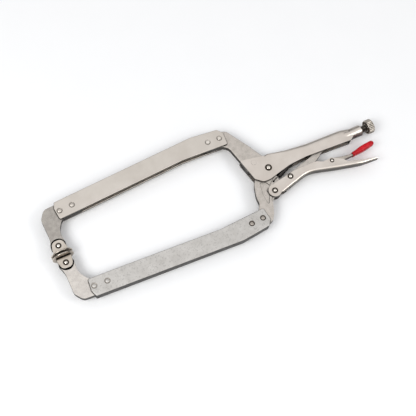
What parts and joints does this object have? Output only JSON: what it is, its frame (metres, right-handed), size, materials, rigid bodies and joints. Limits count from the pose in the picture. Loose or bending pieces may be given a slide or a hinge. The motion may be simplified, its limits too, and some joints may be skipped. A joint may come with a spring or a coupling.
{
  "type": "locking c-clamp pliers",
  "caption": "Deep-reach locking C-clamp pliers: riveted channel arms on forged jaws, round swivel pads, an adjusting screw and a red release lever.",
  "frame": {"origin": "the middle of the whole tool, on its plane of symmetry", "axes": "+X runs from the jaw pads to the adjusting knob, +Y from the lower arm to the upper arm, +Z out of the flat of the tool"},
  "size_m": [0.4612, 0.1578, 0.028],
  "materials": {
    "shell_nickel": "satin nickel plate over pressed sheet steel",
    "channel_nickel": "satin nickel plate over folded sheet steel",
    "channel_grey": "satin nickel plate with a fine orange-peel grain",
    "forged_nickel": "satin nickel plate over a shot-blasted forging",
    "rivet_nickel": "bright nickel plate on domed rivet heads",
    "pad_nickel": "nickel plate on pressed steel pads",
    "screw_steel": "oiled steel thread",
    "knob_nickel": "nickel plate on a straight knurl",
    "lever_steel": "nickel plated stamped steel, slightly browned",
    "red_vinyl": "glossy dipped red vinyl",
    "spring_steel": "dark oiled spring wire"
  },
  "bodies": {
    "root": {"upper_handle_shell": "shell_nickel", "fixed_jaw_root": "forged_nickel", "fixed_jaw_plug": "shell_nickel", "main_pivot_rivet": "rivet_nickel", "upper_arm_channel": "channel_nickel", "upper_tip_jaw": "forged_nickel", "upper_arm_rear_rivets": "rivet_nickel", "upper_arm_front_rivets": "rivet_nickel", "upper_pad_rivet": "rivet_nickel", "tension_spring": "spring_steel"},
    "screw": {"adjusting_screw": "screw_steel"},
    "knob": {"adjusting_knob": "knob_nickel"},
    "lower_jaw": {"lower_jaw_root": "forged_nickel", "lower_arm_channel": "channel_grey", "lower_tip_jaw": "forged_nickel", "lower_arm_rear_rivets": "rivet_nickel", "lower_arm_front_rivets": "rivet_nickel", "lower_pad_rivet": "rivet_nickel", "lower_handle_pivot_rivet": "rivet_nickel"},
    "lower_handle": {"lower_handle_shell": "shell_nickel", "link_pin": "rivet_nickel", "release_lever_pin": "rivet_nickel"},
    "toggle_link": {"toggle_link": "forged_nickel"},
    "release_lever": {"release_lever": "lever_steel", "release_lever_grip": "red_vinyl"},
    "upper_pad": {"upper_swivel_pad": "pad_nickel"},
    "lower_pad": {"lower_swivel_pad": "pad_nickel"}
  },
  "joints": [
    {"name": "lower_jaw_pivot", "type": "hinge", "parent": "root", "child": "lower_jaw", "pos_m": [0.07095, -0.0026, 0], "axis": [0, 0, 1], "range_deg": [0, 30], "deforming": ["tension_spring"]},
    {"name": "lower_handle_pivot", "type": "hinge", "parent": "lower_jaw", "child": "lower_handle", "pos_m": [0.06375, -0.0347, 0], "axis": [0, 0, 1], "range_deg": [-84, 0]},
    {"name": "toggle_link_pivot", "type": "hinge", "parent": "lower_handle", "child": "toggle_link", "pos_m": [0.09175, -0.0253, 0], "axis": [0, 0, 1], "range_deg": [0, 78]},
    {"name": "release_lever_pivot", "type": "hinge", "parent": "lower_handle", "child": "release_lever", "pos_m": [0.15295, -0.0282, 0], "axis": [0, 0, 1], "range_deg": [-7, 0]},
    {"name": "upper_pad_swivel", "type": "hinge", "parent": "root", "child": "upper_pad", "pos_m": [-0.21655, 0.0119, 0], "axis": [0, 0, 1], "range_deg": [-15, 15]},
    {"name": "lower_pad_swivel", "type": "hinge", "parent": "lower_jaw", "child": "lower_pad", "pos_m": [-0.21655, -0.0119, 0], "axis": [0, 0, 1], "range_deg": [-15, 15]},
    {"name": "screw_travel", "type": "slide", "parent": "root", "child": "screw", "axis": [1, 0, 0], "range_m": [0, 0.025]},
    {"name": "knob_turn", "type": "hinge", "parent": "screw", "child": "knob", "pos_m": [0.22095, -0.003, 0], "axis": [1, 0, 0], "range_deg": [0, 7200]}
  ],
  "couplings": [
    {"joint": "lower_handle_pivot", "follows": "lower_jaw_pivot", "ratio": -2.8},
    {"joint": "toggle_link_pivot", "follows": "lower_jaw_pivot", "ratio": 2.6},
    {"joint": "upper_pad_swivel", "follows": "lower_jaw_pivot", "ratio": 0.5},
    {"joint": "lower_pad_swivel", "follows": "lower_jaw_pivot", "ratio": -0.5},
    {"joint": "knob_turn", "follows": "screw_travel", "rad_per_m": 5026.5}
  ]
}
